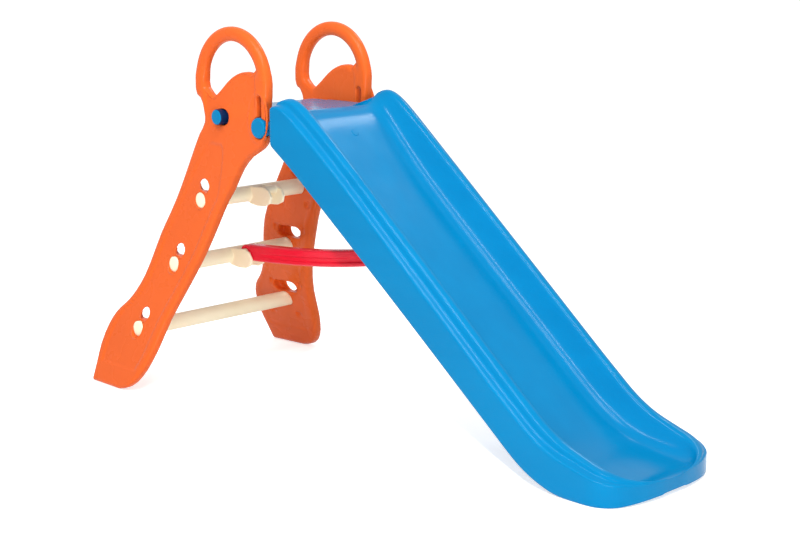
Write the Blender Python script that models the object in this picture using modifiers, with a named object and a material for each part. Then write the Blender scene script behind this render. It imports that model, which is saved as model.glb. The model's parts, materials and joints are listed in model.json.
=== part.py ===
"""Folding child's slide: blow-moulded ladder panels, rungs, chute, brace bar and lock buttons.

Metres, +Z up. X runs along the slide towards its exit, and Y = 0 is the plane of symmetry.
X values below are measured from the foot's middle; the root empty moves them to the frame's
origin, which lies on the floor under the middle of the slide's length.
"""

import math

import bmesh
import bpy
from mathutils import Matrix, Vector

# Fits, and how far a cutter stands out beyond what it cuts
SEAT_GAP = 0.0003
RUNNING_GAP = 0.0006
CUT_REACH = 0.004

# Overall places along X
REAR_X = -0.165
FRONT_X = 1.785
CENTRE_X = (REAR_X + FRONT_X) / 2

# Ladder panels
PANEL_THICKNESS = 0.036
PANEL_ROUNDING = 0.011
PANEL_SPACING = 0.200
SPLAY_HEIGHT = 0.440
SPLAY_BLEND = 0.200
SPLAY_SLOPE = 0.420
SPLAY_STEPS = 7
SPLAY_TOE = 0.12
GRIP_CENTRE = (0.338, 0.955)
GRIP_RADIUS = 0.140
GRIP_TUBE = 0.043

# Rungs
RUNG_RADIUS = 0.025
RUNG_SIDES = 20
TOP_RUNG = (0.190, 0.591)
MIDDLE_RUNG = (0.094, 0.384)
BOTTOM_RUNG = (0.0015, 0.178)
RUNG_CHAMFER = 0.0015
CAP_THICKNESS = 0.006
CAP_PLUG_RADIUS = 0.018
CAP_PLUG_DEPTH = 0.010
CAP_RECESS = 0.003
CAP_DOME = 0.0036
SIGHT_HOLE_RADIUS = 0.0215
SIGHT_HOLE_RISE = 0.047
SIGHT_WEB = 0.007
SIGHT_POCKET_REACH = 0.036
SIGHT_POCKET_RADIUS = 0.019
TACK_SIZE = 0.024
TACK_DEPTH = 0.005
TACK_SPREAD = (0.062, 0.058)

# Saddles in front of the top and the middle rung; offsets are from the rung's axis
SADDLE_PIN = (0.070, 0.016)
SADDLE_PIN_RADIUS = 0.012
SADDLE_CLEARANCE = 0.0018
CHEEK = 0.009
CHEEK_ROUNDING = 0.0025

# Pivot of the chute
PIVOT = (0.4675, 0.832)
BOSS_RADIUS = 0.030
BOSS_STAND_OUT = 0.006
BOSS_HEAD_RADIUS = 0.035
BOSS_HEAD = 0.005
SLOT_HALF_WIDTH = 0.010
SLOT_RISE = 0.083
RIDGE_RADIUS = 0.005
RIDGE_HALF_SIZE = (0.03956, 0.072)
RIDGE_BACK = 0.004
RIDGE_LIFT = 0.030
RIDGE_SUNK = 0.45

# Lock buttons
BUTTON = (0.297, 0.852)
BUTTON_RADIUS = 0.0235
BUTTON_STAND_OUT = 0.018
BUTTON_SKIRT = 0.012
BUTTON_HOLE_LONGER = 0.012
BUTTON_WEB = 0.008
BUTTON_TAB = 0.0025
BUTTON_TAB_INSET = 0.002
SHAFT_RADIUS = 0.010
WAIST_RADIUS = 0.006
CLIP_RADIUS = 0.0135
CLIP_THICKNESS = 0.002
SPRING_WIRE = 0.0012
SPRING_TURNS = 4
SPRING_POINTS = 10

# Chute
CHUTE_REAR_X = 0.535
CHUTE_HALF_WIDTH = 0.232
CHUTE_TOP_FLARE = 0.008
WALL = 0.012
SIDE_WALL = 0.010
END_WALL = 0.014
LIP_SOLID = 0.036
LIP_ROUND = 0.115
LIP_SQUARENESS = 2.6
RIM_DROP = 0.030
RIM_DROP_SHARE = 0.35
RIM_STEEPNESS = 1.3
RIM_FOOT = 0.010
CORNER_ROUNDING = 0.006
SOLID_UNDER = 0.002
TONGUE_REAR_X = 0.282
TONGUE_TOP = 0.880
TONGUE_PLATE = 0.012
TONGUE_CLEARANCE = 0.006
TONGUE_HALF_WIDTH = PANEL_SPACING - PANEL_THICKNESS / 2 - TONGUE_CLEARANCE
TONGUE_STEP = 0.014
TONGUE_REAR_HALF_WIDTH = TONGUE_HALF_WIDTH - TONGUE_STEP
TONGUE_FLANGE = 0.008
TONGUE_RIB = 0.012
TONGUE_RIB_END = 0.345
TONGUE_CORNER_END = 0.350
TONGUE_NECK = (0.400, 0.014)
TONGUE_REAR_EDGE = (0.006, 0.007)
TONGUE_SINK = 0.0005
TONGUE_FOOT = 0.008
TONGUE_DEPTH = 0.180
FLANGE_START = 0.372
FLANGE_RADIUS = 0.043

# Brace bar
BRACE_HALF_WIDTH = 0.0195
BRACE_HALF_HEIGHT = 0.0255
BRACE_CORNER = 0.005
BRACE_GROOVE = 0.006
BRACE_TIP = 0.72
BRACE_TIP_START = 0.80
BRACE_SAG = 0.018
BRACE_PIN_X = 0.950
BRACE_PIN_RADIUS = 0.008
BRACE_PIN_DROP = 0.036
BRACE_PIN_HALF_LENGTH = 0.034
BRACE_STEPS = 14
HOOK_WALL = 0.0115
HOOK_TOP_ANGLE = 172
HOOK_JAW_ANGLE = -120
BRACKET_PLATE = 0.007
BRACKET_HALF_WIDTH = 0.033
BRACKET_LENGTH = 0.090
BRACKET_JAW = 0.010
BRACKET_FILLETS = (0.006, 0.004)
BRACKET_ROOM = 0.0015
SLOT_DROP_ANGLE = 15
SLOT_LENGTH = 0.050
SLOT_FLARE = 1.35
SCREW_RADIUS = 0.0022
SCREW_HEAD_RADIUS = 0.0045
SCREW_HEAD = 0.002
SCREW_INSET = 0.010

# Water fittings
OUTLET_X = 0.640
OUTLET_RADIUS = 0.007
OUTLET_FLANGE_RADIUS = 0.012
OUTLET_FLANGE = 0.0015
OUTLET_SHANK = 0.034
NUT_RADIUS = 0.015
NUT_HEIGHT = 0.007
INLET_RADIUS = 0.012
INLET_LENGTH = 0.034
INLET_BORE = 0.004

# Outlines as X, Z points; a third value marks a corner
PANEL_OUTLINE = (
    (-0.165, 0.110), (-0.159, 0.060), (-0.151, 0.000, True), (-0.005, 0.000, True),
    (0.038, 0.012), (0.072, 0.044), (0.095, 0.090), (0.110, 0.140), (0.126, 0.220), (0.158, 0.305),
    (0.216, 0.430), (0.266, 0.540), (0.296, 0.594), (0.325, 0.632), (0.370, 0.700), (0.412, 0.740),
    (0.460, 0.766), (0.484, 0.790), (0.492, 0.830), (0.494, 0.890),
)
PANEL_REAR = (
    (0.199, 0.900), (0.214, 0.862), (0.216, 0.832), (0.190, 0.795), (0.150, 0.725), (0.100, 0.635),
    (0.045, 0.542), (0.004, 0.470), (-0.023, 0.395), (-0.043, 0.335), (-0.069, 0.285), (-0.091, 0.256),
    (-0.112, 0.236), (-0.136, 0.212), (-0.156, 0.172),
)
GRIP_HUMP = (
    (0.434, 0.981), (0.424, 0.987), (0.400, 0.989), (0.366, 0.981), (0.330, 0.961), (0.296, 0.933),
    (0.260, 0.906, True),
)
CREST_LINE = (
    (0.535, 0.900), (0.552, 0.917), (0.585, 0.924), (0.620, 0.912), (0.660, 0.886), (0.800, 0.772),
    (1.000, 0.6025), (1.200, 0.4325), (1.400, 0.262), (1.460, 0.212), (1.520, 0.164), (1.600, 0.121),
    (1.700, 0.089), (1.752, 0.067), (1.785, 0.048),
)
FLOOR_LINE = (
    (0.535, 0.880), (0.560, 0.876), (0.600, 0.852), (0.660, 0.795), (0.800, 0.663), (1.000, 0.4935),
    (1.200, 0.3235), (1.400, 0.155), (1.460, 0.112), (1.520, 0.078), (1.600, 0.053), (1.700, 0.040),
    (1.752, 0.040), (1.785, 0.042),
)
BOTTOM_LINE = (
    (0.535, 0.792), (0.556, 0.776), (0.619, 0.730), (0.800, 0.583), (1.000, 0.4245), (1.200, 0.264),
    (1.400, 0.102), (1.450, 0.062), (1.500, 0.032), (1.550, 0.012), (1.600, 0.000), (1.710, 0.000),
    (1.755, 0.002), (1.785, 0.009),
)
# Half of the chute's cross-section: half width, with the share of the side wall's rise, then of the
# rim's drop
CHANNEL_SHAPE = (
    (0.000, 0.00), (0.104, 0.00), (0.134, 0.07), (0.152, 0.26), (0.166, 0.62), (0.174, 0.90),
    (0.182, 0.98), (0.192, 1.00),
)
RIM_SHAPE = (
    (0.200, 0.16), (0.204, 0.50), (0.213, 0.58), (0.217, 0.95), (0.226, 1.02), (0.232, 1.25),
)

# Half of the brace bar's section as shares of its half height, with how deep each point lies in the groove
BRACE_SIDE = (
    (0.15, 0.0), (0.02, 1.0), (-0.42, 1.0), (-0.55, 0.0),
)

# The bracket's jaw, in steps of its outer radius
JAW_SHAPE = (
    (-1.0, -0.5), (-0.5, -1.0), (0.6, -1.12), (0.8, -0.9),
)
SADDLE_OUTLINE = (
    (-0.020, 0.000), (-0.012, 0.016), (0.014, 0.0245), (0.045, 0.0255), (0.074, 0.028), (0.097, 0.020),
    (0.110, 0.000), (0.104, -0.021), (0.080, -0.032), (0.045, -0.034), (0.014, -0.030), (-0.012, -0.018),
)

# Name, place, how far the sight hole lies in front of the rung, and whether it has a saddle
RUNGS = (
    ("top", TOP_RUNG, 0.022, True),
    ("middle", MIDDLE_RUNG, 0.022, True),
    ("bottom", BOTTOM_RUNG, 0.016, False),
)

COLOURS = {
    "orange": (0.880, 0.162, 0.030),
    "cream": (0.830, 0.690, 0.450),
    "blue": (0.000, 0.270, 0.580),
    "red": (0.800, 0.018, 0.043),
    "steel": (0.550, 0.560, 0.580),
    "grey": (0.120, 0.130, 0.140),
}


def clear_scene():
    for thing in list(bpy.data.objects):
        bpy.data.objects.remove(thing, do_unlink=True)


def collection(name):
    group = bpy.data.collections.new(name)
    bpy.context.scene.collection.children.link(group)
    return group


def plastic(name, colour, roughness=0.35, metallic=0.0):
    finish = bpy.data.materials.new(name)
    finish.use_nodes = True
    shader = finish.node_tree.nodes["Principled BSDF"]
    shader.inputs["Base Color"].default_value = (*colour, 1.0)
    shader.inputs["Roughness"].default_value = roughness
    shader.inputs["Metallic"].default_value = metallic
    finish.diffuse_color = (*colour, 1.0)
    return finish


def empty(name, location, parent=None):
    marker = bpy.data.objects.new(name, None)
    marker.empty_display_size = 0.05
    marker.location = location
    marker.parent = parent
    parts.objects.link(marker)
    return marker


def solid(name, mesh, group):
    thing = bpy.data.objects.new(name, mesh)
    group.objects.link(thing)
    return thing


def finish_piece(thing, colour, body, roughness=0.35, metallic=0.0):
    """Give a piece its material and hang it on the empty that carries its joint."""
    finish = plastic(thing.name + "_finish", COLOURS[colour], roughness, metallic)
    thing.data.materials.clear()
    thing.data.materials.append(finish)
    thing.data.shade_smooth()
    thing.data.set_sharp_from_angle(angle=math.radians(35))
    carry(thing, body)
    return thing


def carry(thing, body):
    """Parent to a body's empty, with the object's origin on that empty."""
    origin = body["origin"]
    if thing.data.users == 1:
        thing.data.transform(Matrix.Translation(-origin))
    thing.parent = body["empty"]


def bake(thing):
    """Put the evaluated mesh in place of the object's own, with its modifiers applied."""
    bpy.context.view_layer.update()
    graph = bpy.context.evaluated_depsgraph_get()
    mesh = bpy.data.meshes.new_from_object(thing.evaluated_get(graph))
    thing.modifiers.clear()
    thing.data = mesh
    return thing


def combine(thing, other, operation):
    cut = thing.modifiers.new(operation.title(), "BOOLEAN")
    cut.operation = operation
    cut.solver = "EXACT"
    cut.object = other
    return cut


def keep_cutter(cutter, body):
    cutter.hide_render = True
    cutter.display_type = "WIRE"
    carry(cutter, body)


def from_curve(name, curve, place, group):
    """A mesh object from a curve, with its caps welded on."""
    guide = bpy.data.objects.new(name + "_guide", curve)
    bpy.context.scene.collection.objects.link(guide)
    guide.matrix_world = place
    bpy.context.view_layer.update()
    graph = bpy.context.evaluated_depsgraph_get()
    mesh = bpy.data.meshes.new_from_object(guide.evaluated_get(graph))
    work = bmesh.new()
    work.from_mesh(mesh)
    bmesh.ops.remove_doubles(work, verts=work.verts, dist=0.00005)
    bmesh.ops.dissolve_degenerate(work, edges=work.edges, dist=0.00002)
    bmesh.ops.recalc_face_normals(work, faces=work.faces)
    work.to_mesh(mesh)
    work.free()
    mesh.transform(place)
    bpy.data.objects.remove(guide)
    return solid(name, mesh, group)


def add_spline(curve, points):
    spline = curve.splines.new("BEZIER")
    spline.bezier_points.add(len(points) - 1)
    spline.use_cyclic_u = True
    for knot, point in zip(spline.bezier_points, points):
        knot.co = (point[0], point[1], 0.0)
        kind = "VECTOR" if len(point) > 2 else "AUTO"
        knot.handle_left_type = kind
        knot.handle_right_type = kind


def outline_solid(name, outlines, half_width, rounding, group, resolution=3, offset_y=0.0):
    """Extrude X, Z outlines along Y, with rounded edges that stay inside them."""
    curve = bpy.data.curves.new(name + "_outline", "CURVE")
    curve.dimensions = "2D"
    curve.fill_mode = "BOTH"
    curve.resolution_u = resolution
    curve.extrude = half_width - rounding
    curve.bevel_depth = rounding
    curve.bevel_resolution = 1
    curve.offset = -rounding
    for outline in outlines:
        add_spline(curve, outline)
    upright = Matrix.Translation((0.0, offset_y, 0.0)) @ Matrix.Rotation(math.radians(90), 4, "X")
    return from_curve(name, curve, upright, group)


def turned(name, profile, place, group, sides=RUNG_SIDES):
    """Turn a radius, height profile, listed from the top down, about its own Z axis."""
    mesh = bpy.data.meshes.new(name)
    closed = profile[0][0] > 0.0
    edges = [(i, i + 1) for i in range(len(profile) - 1)]
    if closed:
        edges.append((len(profile) - 1, 0))
    mesh.from_pydata([(r, 0.0, z) for r, z in profile], edges, [])
    thing = solid(name, mesh, group)
    screw = thing.modifiers.new("Turn", "SCREW")
    screw.steps = sides
    screw.render_steps = sides
    screw.use_merge_vertices = True
    screw.merge_threshold = 0.0001
    bake(thing)
    thing.data.transform(place)
    return thing


def side_matrix(side, x, z):
    """Place a piece whose own +Z points outwards through the panel on that side."""
    return Matrix.Translation((x, 0.0, z)) @ Matrix.Rotation(math.radians(-90 * side), 4, "X")


def cylinder(name, x, z, radius, y_from, y_to, group, sides=RUNG_SIDES):
    mesh = bpy.data.meshes.new(name)
    work = bmesh.new()
    middle = Matrix.Translation((x, (y_from + y_to) / 2, z)) @ Matrix.Rotation(math.radians(90), 4, "X")
    bmesh.ops.create_cone(work, cap_ends=True, segments=sides, radius1=radius, radius2=radius,
                          depth=abs(y_to - y_from), matrix=middle)
    work.to_mesh(mesh)
    work.free()
    return solid(name, mesh, group)


def box(name, low, high, group):
    mesh = bpy.data.meshes.new(name)
    work = bmesh.new()
    size = Vector(high) - Vector(low)
    place = Matrix.Translation((Vector(high) + Vector(low)) / 2) @ Matrix.Diagonal((*size, 1.0))
    bmesh.ops.create_cube(work, size=1.0, matrix=place)
    work.to_mesh(mesh)
    work.free()
    return solid(name, mesh, group)


def join_meshes(name, things, group):
    """One object from several that don't touch, for use as a single cutter."""
    work = bmesh.new()
    for thing in things:
        work.from_mesh(thing.data)
        bpy.data.objects.remove(thing)
    mesh = bpy.data.meshes.new(name)
    work.to_mesh(mesh)
    work.free()
    return solid(name, mesh, group)


def loft(name, sections, group):
    """Skin a row of equal closed sections and cap both ends."""
    work = bmesh.new()
    rings = [[work.verts.new(point) for point in section] for section in sections]
    count = len(sections[0])
    for ring, following in zip(rings, rings[1:]):
        for i in range(count):
            j = (i + 1) % count
            work.faces.new((ring[i], ring[j], following[j], following[i]))
    work.faces.new(rings[0])
    work.faces.new(rings[-1])
    bmesh.ops.recalc_face_normals(work, faces=work.faces)
    mesh = bpy.data.meshes.new(name)
    work.to_mesh(mesh)
    work.free()
    return solid(name, mesh, group)


def height_at(line, x):
    """Smooth curve through a line's points, with each slope taken from its neighbours."""
    if x <= line[0][0]:
        return line[0][1]
    if x >= line[-1][0]:
        return line[-1][1]
    k = max(i for i in range(len(line) - 1) if line[i][0] <= x)

    def slope(i):
        low = line[max(i - 1, 0)]
        high = line[min(i + 1, len(line) - 1)]
        return (high[1] - low[1]) / (high[0] - low[0])

    def step(i):
        return (line[i + 1][1] - line[i][1]) / (line[i + 1][0] - line[i][0])

    span = line[k + 1][0] - line[k][0]
    t = (x - line[k][0]) / span
    start = slope(k)
    end = slope(k + 1)
    if step(k) == 0.0:
        start = 0.0
        end = 0.0
    if line[k][1] == 0.0:
        start = 0.0
    if line[k + 1][1] == 0.0:
        end = 0.0
    a = 2 * t ** 3 - 3 * t ** 2 + 1
    b = t ** 3 - 2 * t ** 2 + t
    c = -2 * t ** 3 + 3 * t ** 2
    d = t ** 3 - t ** 2
    return a * line[k][1] + b * span * start + c * line[k + 1][1] + d * span * end


def slope_at(line, x):
    reach = 0.02
    return (height_at(line, x + reach) - height_at(line, x - reach)) / (2 * reach)


def ladder_axis(z):
    """X of the line through the rungs at a height."""
    lean = (TOP_RUNG[0] - BOTTOM_RUNG[0]) / (TOP_RUNG[1] - BOTTOM_RUNG[1])
    return MIDDLE_RUNG[0] + lean * (z - MIDDLE_RUNG[1])


def splay(z, x=None):
    """Half the distance between the panels' middle planes; the legs also toe out at the front."""
    above = z - SPLAY_HEIGHT
    if x is not None:
        above -= SPLAY_TOE * (x - ladder_axis(z))
    if above >= SPLAY_BLEND:
        return PANEL_SPACING
    if above <= -SPLAY_BLEND:
        return PANEL_SPACING - SPLAY_SLOPE * above
    return PANEL_SPACING + SPLAY_SLOPE * (SPLAY_BLEND - above) ** 2 / (4 * SPLAY_BLEND)


def arc(centre, radius, from_degrees, to_degrees, steps):
    points = []
    for i in range(steps + 1):
        angle = math.radians(from_degrees + (to_degrees - from_degrees) * i / steps)
        points.append((centre[0] + radius * math.cos(angle), centre[1] + radius * math.sin(angle)))
    return points


def panel_outlines():
    outer = GRIP_RADIUS + GRIP_TUBE / 2
    inner = GRIP_RADIUS - GRIP_TUBE / 2
    outside = list(PANEL_OUTLINE) + arc(GRIP_CENTRE, outer, 0, 197, 13) + list(PANEL_REAR)
    opening = list(GRIP_HUMP) + list(reversed(arc(GRIP_CENTRE, inner, 28, 190, 10)))
    return outside, opening


def round_hole(name, x, z, radius, side, body_group):
    reach = splay(z) + PANEL_THICKNESS
    near = splay(z) - PANEL_THICKNESS
    return cylinder(name, x, z, radius, side * near, side * reach, body_group)


def capsule(name, x_from, x_to, z, radius, y_from, y_to, group):
    """A slot cutter with round ends, long in X."""
    steps = 8
    points = arc((x_to, z), radius, -90, 90, steps) + arc((x_from, z), radius, 90, 270, steps)
    return prism(name, points, y_from, y_to, group)


def prism(name, points, y_from, y_to, group):
    """Extrude a plain X, Z polygon between two Y values."""
    sections = [[(x, y, z) for x, z in points] for y in (y_from, y_to)]
    return loft(name, sections, group)


def panel_cutters(side):
    """Everything that is cut from a ladder panel."""
    cuts = []
    for label, (x, z), ahead, saddle in RUNGS:
        cuts.append(round_hole(label + "_socket", x, z, RUNG_RADIUS + SEAT_GAP, side, cutters))
        sight_x = x + ahead
        sight_z = z + SIGHT_HOLE_RISE
        cuts.append(round_hole(label + "_sight", sight_x, sight_z, SIGHT_HOLE_RADIUS, side, cutters))
        cuts.append(sight_pocket(label + "_pocket", sight_x, sight_z, side))
        cuts.extend(tack_recesses(label, z, side))
    inner = side * (PANEL_SPACING - PANEL_THICKNESS)
    outer = side * (PANEL_SPACING + PANEL_THICKNESS)
    cuts.append(prism("keyhole", keyhole_points(), inner, outer, cutters))
    web = side * (PANEL_SPACING - PANEL_THICKNESS / 2 + BUTTON_WEB)
    hole = BUTTON_RADIUS + RUNNING_GAP
    cuts.append(capsule("button_hole", BUTTON[0], BUTTON[0] + BUTTON_HOLE_LONGER, BUTTON[1], hole,
                        web, outer, cutters))
    shaft = SHAFT_RADIUS + RUNNING_GAP
    cuts.append(cylinder("shaft_hole", BUTTON[0], BUTTON[1], shaft, inner, web + side * CUT_REACH, cutters))
    return cuts


def sight_pocket(name, x, z, side):
    """Oval pocket from the inner face that leaves a thin web round a sight hole."""
    floor = PANEL_THICKNESS / 2 - SIGHT_WEB
    pocket = capsule(name, x - SIGHT_POCKET_REACH, x + SIGHT_POCKET_REACH, z, SIGHT_POCKET_RADIUS,
                     -PANEL_THICKNESS, floor, cutters)
    for vert in pocket.data.vertices:
        vert.co.y = side * (splay(vert.co.z, vert.co.x) + vert.co.y)
    if side < 0:
        pocket.data.flip_normals()
    return pocket


def keyhole_points():
    """Round seat for the boss with a narrow slot rising from it."""
    radius = BOSS_RADIUS + RUNNING_GAP
    start = math.degrees(math.acos(SLOT_HALF_WIDTH / radius))
    top = (PIVOT[0], PIVOT[1] + SLOT_RISE)
    circle = arc(PIVOT, radius, 180 - start, 360 + start, 18)
    return circle + arc(top, SLOT_HALF_WIDTH, 0, 180, 6)


def tack_recesses(label, z, side):
    """Four square recesses round a rung, where the two moulded skins meet."""
    recesses = []
    half = TACK_SIZE / 2
    for across in (-1, 1):
        for up in (-1, 1):
            height = z + up * TACK_SPREAD[1]
            middle = ladder_axis(height) + across * TACK_SPREAD[0]
            face = splay(height, middle) - PANEL_THICKNESS / 2 + TACK_DEPTH
            back = splay(height, middle) - PANEL_THICKNESS * 1.2
            low, high = sorted((side * face, side * back))
            recesses.append(box(f"{label}_tack", (middle - half, low, height - half),
                                (middle + half, high, height + half), cutters))
    return recesses


def make_panel(side, body):
    name = "ladder_panel_left" if side > 0 else "ladder_panel_right"
    panel = outline_solid(name, panel_outlines(), PANEL_THICKNESS / 2, PANEL_ROUNDING, parts, resolution=2)
    bend_panel(panel.data, side)
    ridge = keyhole_ridge(side)
    combine(panel, ridge, "UNION")
    cutter = join_overlapping(name + "_cuts", panel_cutters(side))
    combine(panel, cutter, "DIFFERENCE")
    bake(panel)
    bpy.data.objects.remove(ridge)
    keep_cutter(cutter, body)
    finish_piece(panel, "orange", body)


def join_overlapping(name, things):
    """Unite cutters that may touch each other into one."""
    first = things[0]
    first.name = name
    rest = join_meshes(name + "_rest", things[1:], cutters)
    union = combine(first, rest, "UNION")
    union.use_self = True
    bake(first)
    bpy.data.objects.remove(rest)
    return first


def bend_panel(mesh, side):
    """Lay the flat panel on the ladder's splay: straight above, bent, then leaning out."""
    work = bmesh.new()
    work.from_mesh(mesh)
    low = SPLAY_HEIGHT - SPLAY_BLEND
    lean = (TOP_RUNG[0] - BOTTOM_RUNG[0]) / (TOP_RUNG[1] - BOTTOM_RUNG[1])
    across = Vector((-SPLAY_TOE, 0.0, 1.0 + SPLAY_TOE * lean)).normalized()
    for i in range(SPLAY_STEPS + 1):
        height = low + 2 * SPLAY_BLEND * i / SPLAY_STEPS
        everything = work.verts[:] + work.edges[:] + work.faces[:]
        bmesh.ops.bisect_plane(work, geom=everything, plane_co=(ladder_axis(height), 0, height),
                               plane_no=across, dist=0.00001)
    for vert in work.verts:
        vert.co.y += side * splay(vert.co.z, vert.co.x)
    bmesh.ops.recalc_face_normals(work, faces=work.faces)
    work.to_mesh(mesh)
    work.free()


def keyhole_ridge(side):
    """Raised oval bead round the keyhole, half sunk in the panel's outer face."""
    curve = bpy.data.curves.new("ridge", "CURVE")
    curve.dimensions = "3D"
    curve.bevel_depth = RIDGE_RADIUS
    curve.bevel_resolution = 1
    spline = curve.splines.new("POLY")
    steps = 22
    spline.points.add(steps - 1)
    spline.use_cyclic_u = True
    centre_z = PIVOT[1] + RIDGE_LIFT
    face = side * (PANEL_SPACING + PANEL_THICKNESS / 2 - RIDGE_RADIUS * RIDGE_SUNK)
    for i, point in enumerate(spline.points):
        angle = 2 * math.pi * i / steps
        x = PIVOT[0] - RIDGE_BACK + RIDGE_HALF_SIZE[0] * math.cos(angle)
        z = centre_z + RIDGE_HALF_SIZE[1] * math.sin(angle)
        point.co = (x, face, z, 1.0)
    return from_curve("keyhole_ridge", curve, Matrix.Identity(4), cutters)


def rung_end(z):
    return splay(z) + PANEL_THICKNESS / 2 - CAP_RECESS - CAP_THICKNESS


def make_rung(name, place, saddle, body):
    """A turned rung with a blind bore at each end; a saddle carries the brace bar's hook."""
    x, z = place
    end = rung_end(z)
    bore = CAP_PLUG_RADIUS + SEAT_GAP
    depth = CAP_PLUG_DEPTH + SEAT_GAP
    edge = RUNG_RADIUS - RUNG_CHAMFER
    profile = [(0.0, end - depth), (bore, end - depth), (bore, end), (edge, end),
               (RUNG_RADIUS, end - RUNG_CHAMFER), (RUNG_RADIUS, -end + RUNG_CHAMFER), (edge, -end),
               (bore, -end), (bore, -end + depth), (0.0, -end + depth)]
    rung = turned(name, profile, side_matrix(1, x, z), parts)
    if saddle:
        for piece in saddle_solids(x, z):
            combine(rung, piece, "UNION")
            bake(rung)
            bpy.data.objects.remove(piece)
    finish_piece(rung, "cream", body, roughness=0.4)


def saddle_solids(x, z):
    """Two cheeks in front of a rung, and the pin between them that a hook can take hold of."""
    inner = BRACE_HALF_WIDTH + SADDLE_CLEARANCE
    outline = [(x + ahead, z + up) for ahead, up in SADDLE_OUTLINE]
    solids = []
    for side in (-1, 1):
        middle = side * (inner + CHEEK / 2)
        solids.append(outline_solid(f"cheek_{side}", [outline], CHEEK / 2, CHEEK_ROUNDING, cutters,
                                    resolution=1, offset_y=middle))
    reach = inner + CHEEK / 2
    solids.append(cylinder("saddle_pin", x + SADDLE_PIN[0], z + SADDLE_PIN[1], SADDLE_PIN_RADIUS,
                           -reach, reach, cutters))
    return solids


def hook_place():
    """X and Z of the middle rung's saddle pin, which the brace bar turns on."""
    return (MIDDLE_RUNG[0] + SADDLE_PIN[0], MIDDLE_RUNG[1] + SADDLE_PIN[1])


def make_cap(name, place, side, body):
    """Domed disc that closes a rung's end, with its plug in the bore."""
    x, z = place
    base = rung_end(z) + SEAT_GAP
    crown = base + CAP_THICKNESS
    profile = [(0.0, crown), (RUNG_RADIUS * 0.8, crown - CAP_DOME * 0.3), (RUNG_RADIUS, crown - CAP_DOME),
               (RUNG_RADIUS, base), (CAP_PLUG_RADIUS, base),
               (CAP_PLUG_RADIUS, base - CAP_PLUG_DEPTH + SEAT_GAP), (0.0, base - CAP_PLUG_DEPTH + SEAT_GAP)]
    cap = turned(name, profile, side_matrix(side, x, z), parts)
    finish_piece(cap, "cream", body, roughness=0.4)


def rim_section(x):
    """The chute's closed outline in the upright plane at x, from its middle outwards and round."""
    crest = height_at(CREST_LINE, x)
    floor = height_at(FLOOR_LINE, x)
    bottom = height_at(BOTTOM_LINE, x)
    steep = math.hypot(1.0, slope_at(FLOOR_LINE, x))
    under = max(floor - WALL * steep, bottom + SOLID_UNDER)
    if x < CHUTE_REAR_X + END_WALL or x > FRONT_X - LIP_SOLID:
        under = bottom + SOLID_UNDER
    rise = crest - floor
    drop = min(RIM_DROP, rise * RIM_DROP_SHARE) * min(steep, RIM_STEEPNESS)
    shape = [(y, floor + rise * share) for y, share in CHANNEL_SHAPE]
    shape += [(y, crest - drop * share) for y, share in RIM_SHAPE]
    edge, outside = shape[-1]
    inner = edge - SIDE_WALL
    shape += [
        (edge, bottom + min(RIM_FOOT, (outside - bottom) * 0.3)),
        (edge - 0.003, bottom),
        (inner, bottom),
        (inner - 0.001, under - 0.001),
        (0.120, under),
        (0.000, under),
    ]
    scale = half_width(x) / edge
    right = [(x, y * scale, z) for y, z in shape]
    left = [(x, -y * scale, z) for y, z in reversed(shape[1:-1])]
    return right + left


def half_width(x):
    """Half the chute's width: flared at the top, rounded in plan at the exit lip."""
    flare = CHUTE_TOP_FLARE * max(0.0, min(1.0, (0.80 - x) / 0.25))
    start = FRONT_X - LIP_ROUND
    inset = 0.0
    if x < CHUTE_REAR_X + CORNER_ROUNDING:
        inset = 0.005 * (CHUTE_REAR_X + CORNER_ROUNDING - x) / CORNER_ROUNDING
    if x <= start:
        return CHUTE_HALF_WIDTH + flare - inset
    t = (x - start) / LIP_ROUND
    return CHUTE_HALF_WIDTH * (1.0 - min(t, 0.995) ** LIP_SQUARENESS) ** (1 / LIP_SQUARENESS)


def chute_stations():
    fixed = [CHUTE_REAR_X, CHUTE_REAR_X + CORNER_ROUNDING, CHUTE_REAR_X + END_WALL - 0.001,
             CHUTE_REAR_X + END_WALL, 0.566, 0.585, 0.605, 0.630, 0.660, 0.720, 0.800, 1.000, 1.200,
             1.360, 1.400, 1.430, 1.460, 1.490, 1.520, 1.560, 1.600]
    start = FRONT_X - LIP_ROUND
    curved = [start + LIP_ROUND * math.sin(math.radians(a)) for a in (12, 24, 36, 48, 58, 67, 75, 82, 90)]
    closing = [FRONT_X - LIP_SOLID, FRONT_X - LIP_SOLID + 0.001]
    return sorted(fixed + curved + closing)


def tongue_outline():
    """Side view of the tongue: thin over the lock buttons, deep round the pivot."""
    ring = arc(PIVOT, FLANGE_RADIUS, 215, 300, 6)
    rib_bottom = BUTTON[1] + SHAFT_RADIUS + SEAT_GAP
    front = CHUTE_REAR_X + END_WALL / 2
    neck = (TONGUE_NECK[0], rib_bottom - TONGUE_NECK[1])
    top = TONGUE_TOP - TONGUE_SINK
    edge_in, edge_down = TONGUE_REAR_EDGE
    under = [(TONGUE_REAR_X, rib_bottom), (TONGUE_RIB_END, rib_bottom), neck]
    over = [(front, height_at(BOTTOM_LINE, front) + TONGUE_FOOT), (front, top),
            (TONGUE_REAR_X + edge_in, top), (TONGUE_REAR_X, TONGUE_TOP - edge_down)]
    return under + ring + over


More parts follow.
